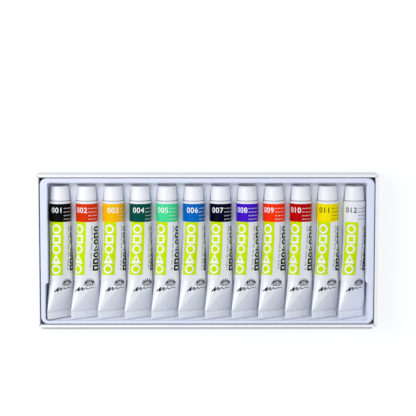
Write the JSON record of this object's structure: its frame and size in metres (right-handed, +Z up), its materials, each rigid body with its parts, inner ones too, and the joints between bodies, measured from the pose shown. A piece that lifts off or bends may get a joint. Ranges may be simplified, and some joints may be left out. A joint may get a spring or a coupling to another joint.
{
  "type": "gouache paint set box",
  "caption": "Shallow white paperboard tray with a thermoformed insert holding a row of capped, crimped aluminium paint tubes.",
  "frame": {"origin": "centre of the paperboard tray's underside", "axes": "+X along the row of tubes towards the white one, +Y from the folded tails to the caps, +Z up out of the open face"},
  "size_m": [0.248, 0.112, 0.022],
  "materials": {
    "paperboard": "smooth coated white board",
    "insert_sheet": "satin thermoformed sheet",
    "tube_foil": "white lacquer over soft aluminium, bare at the folded tail",
    "cap_plastic": "satin moulded",
    "paint_black": "wet paste, stands for gouache",
    "paint_burnt_orange": "wet paste, stands for gouache",
    "paint_ochre": "wet paste, stands for gouache",
    "paint_dark_green": "wet paste, stands for gouache",
    "paint_emerald": "wet paste, stands for gouache",
    "paint_blue": "wet paste, stands for gouache",
    "paint_indigo": "wet paste, stands for gouache",
    "paint_violet": "wet paste, stands for gouache",
    "paint_vermilion": "wet paste, stands for gouache",
    "paint_crimson": "wet paste, stands for gouache",
    "paint_yellow": "wet paste, stands for gouache",
    "paint_white": "wet paste, stands for gouache"
  },
  "bodies": {
    "tray": {"paperboard_tray": "paperboard"},
    "insert": {"insert_tray": "insert_sheet"},
    "tube_01_body": {"tube_01": "tube_foil", "paint_01": "paint_black"},
    "cap_01_body": {"cap_01": "cap_plastic"},
    "tube_02_body": {"tube_02": "tube_foil", "paint_02": "paint_burnt_orange"},
    "cap_02_body": {"cap_02": "cap_plastic"},
    "tube_03_body": {"tube_03": "tube_foil", "paint_03": "paint_ochre"},
    "cap_03_body": {"cap_03": "cap_plastic"},
    "tube_04_body": {"tube_04": "tube_foil", "paint_04": "paint_dark_green"},
    "cap_04_body": {"cap_04": "cap_plastic"},
    "tube_05_body": {"tube_05": "tube_foil", "paint_05": "paint_emerald"},
    "cap_05_body": {"cap_05": "cap_plastic"},
    "tube_06_body": {"tube_06": "tube_foil", "paint_06": "paint_blue"},
    "cap_06_body": {"cap_06": "cap_plastic"},
    "tube_07_body": {"tube_07": "tube_foil", "paint_07": "paint_indigo"},
    "cap_07_body": {"cap_07": "cap_plastic"},
    "tube_08_body": {"tube_08": "tube_foil", "paint_08": "paint_violet"},
    "cap_08_body": {"cap_08": "cap_plastic"},
    "tube_09_body": {"tube_09": "tube_foil", "paint_09": "paint_vermilion"},
    "cap_09_body": {"cap_09": "cap_plastic"},
    "tube_10_body": {"tube_10": "tube_foil", "paint_10": "paint_crimson"},
    "cap_10_body": {"cap_10": "cap_plastic"},
    "tube_11_body": {"tube_11": "tube_foil", "paint_11": "paint_yellow"},
    "cap_11_body": {"cap_11": "cap_plastic"},
    "tube_12_body": {"tube_12": "tube_foil", "paint_12": "paint_white"},
    "cap_12_body": {"cap_12": "cap_plastic"}
  },
  "joints": [
    {"name": "insert_lift", "type": "slide", "parent": "tray", "child": "insert", "axis": [0, 0, 1], "range_m": [0, 0.03]},
    {"name": "tube_01_lift", "type": "slide", "parent": "insert", "child": "tube_01_body", "axis": [0, 0, 1], "range_m": [0, 0.03]},
    {"name": "cap_01_turn", "type": "hinge", "parent": "tube_01_body", "child": "cap_01_body", "pos_m": [-0.1078, 0.0417, 0.00946], "axis": [0, 1, 0], "range_deg": [0, 900]},
    {"name": "tube_02_lift", "type": "slide", "parent": "insert", "child": "tube_02_body", "axis": [0, 0, 1], "range_m": [0, 0.03]},
    {"name": "cap_02_turn", "type": "hinge", "parent": "tube_02_body", "child": "cap_02_body", "pos_m": [-0.0882, 0.0417, 0.00946], "axis": [0, 1, 0], "range_deg": [0, 900]},
    {"name": "tube_03_lift", "type": "slide", "parent": "insert", "child": "tube_03_body", "axis": [0, 0, 1], "range_m": [0, 0.03]},
    {"name": "cap_03_turn", "type": "hinge", "parent": "tube_03_body", "child": "cap_03_body", "pos_m": [-0.0686, 0.0417, 0.00946], "axis": [0, 1, 0], "range_deg": [0, 900]},
    {"name": "tube_04_lift", "type": "slide", "parent": "insert", "child": "tube_04_body", "axis": [0, 0, 1], "range_m": [0, 0.03]},
    {"name": "cap_04_turn", "type": "hinge", "parent": "tube_04_body", "child": "cap_04_body", "pos_m": [-0.049, 0.0417, 0.00946], "axis": [0, 1, 0], "range_deg": [0, 900]},
    {"name": "tube_05_lift", "type": "slide", "parent": "insert", "child": "tube_05_body", "axis": [0, 0, 1], "range_m": [0, 0.03]},
    {"name": "cap_05_turn", "type": "hinge", "parent": "tube_05_body", "child": "cap_05_body", "pos_m": [-0.0294, 0.0417, 0.00946], "axis": [0, 1, 0], "range_deg": [0, 900]},
    {"name": "tube_06_lift", "type": "slide", "parent": "insert", "child": "tube_06_body", "axis": [0, 0, 1], "range_m": [0, 0.03]},
    {"name": "cap_06_turn", "type": "hinge", "parent": "tube_06_body", "child": "cap_06_body", "pos_m": [-0.0098, 0.0417, 0.00946], "axis": [0, 1, 0], "range_deg": [0, 900]},
    {"name": "tube_07_lift", "type": "slide", "parent": "insert", "child": "tube_07_body", "axis": [0, 0, 1], "range_m": [0, 0.03]},
    {"name": "cap_07_turn", "type": "hinge", "parent": "tube_07_body", "child": "cap_07_body", "pos_m": [0.0098, 0.0417, 0.00946], "axis": [0, 1, 0], "range_deg": [0, 900]},
    {"name": "tube_08_lift", "type": "slide", "parent": "insert", "child": "tube_08_body", "axis": [0, 0, 1], "range_m": [0, 0.03]},
    {"name": "cap_08_turn", "type": "hinge", "parent": "tube_08_body", "child": "cap_08_body", "pos_m": [0.0294, 0.0417, 0.00946], "axis": [0, 1, 0], "range_deg": [0, 900]},
    {"name": "tube_09_lift", "type": "slide", "parent": "insert", "child": "tube_09_body", "axis": [0, 0, 1], "range_m": [0, 0.03]},
    {"name": "cap_09_turn", "type": "hinge", "parent": "tube_09_body", "child": "cap_09_body", "pos_m": [0.049, 0.0417, 0.00946], "axis": [0, 1, 0], "range_deg": [0, 900]},
    {"name": "tube_10_lift", "type": "slide", "parent": "insert", "child": "tube_10_body", "axis": [0, 0, 1], "range_m": [0, 0.03]},
    {"name": "cap_10_turn", "type": "hinge", "parent": "tube_10_body", "child": "cap_10_body", "pos_m": [0.0686, 0.0417, 0.00946], "axis": [0, 1, 0], "range_deg": [0, 900]},
    {"name": "tube_11_lift", "type": "slide", "parent": "insert", "child": "tube_11_body", "axis": [0, 0, 1], "range_m": [0, 0.03]},
    {"name": "cap_11_turn", "type": "hinge", "parent": "tube_11_body", "child": "cap_11_body", "pos_m": [0.0882, 0.0417, 0.00946], "axis": [0, 1, 0], "range_deg": [0, 900]},
    {"name": "tube_12_lift", "type": "slide", "parent": "insert", "child": "tube_12_body", "axis": [0, 0, 1], "range_m": [0, 0.03]},
    {"name": "cap_12_turn", "type": "hinge", "parent": "tube_12_body", "child": "cap_12_body", "pos_m": [0.1078, 0.0417, 0.00946], "axis": [0, 1, 0], "range_deg": [0, 900]}
  ]
}
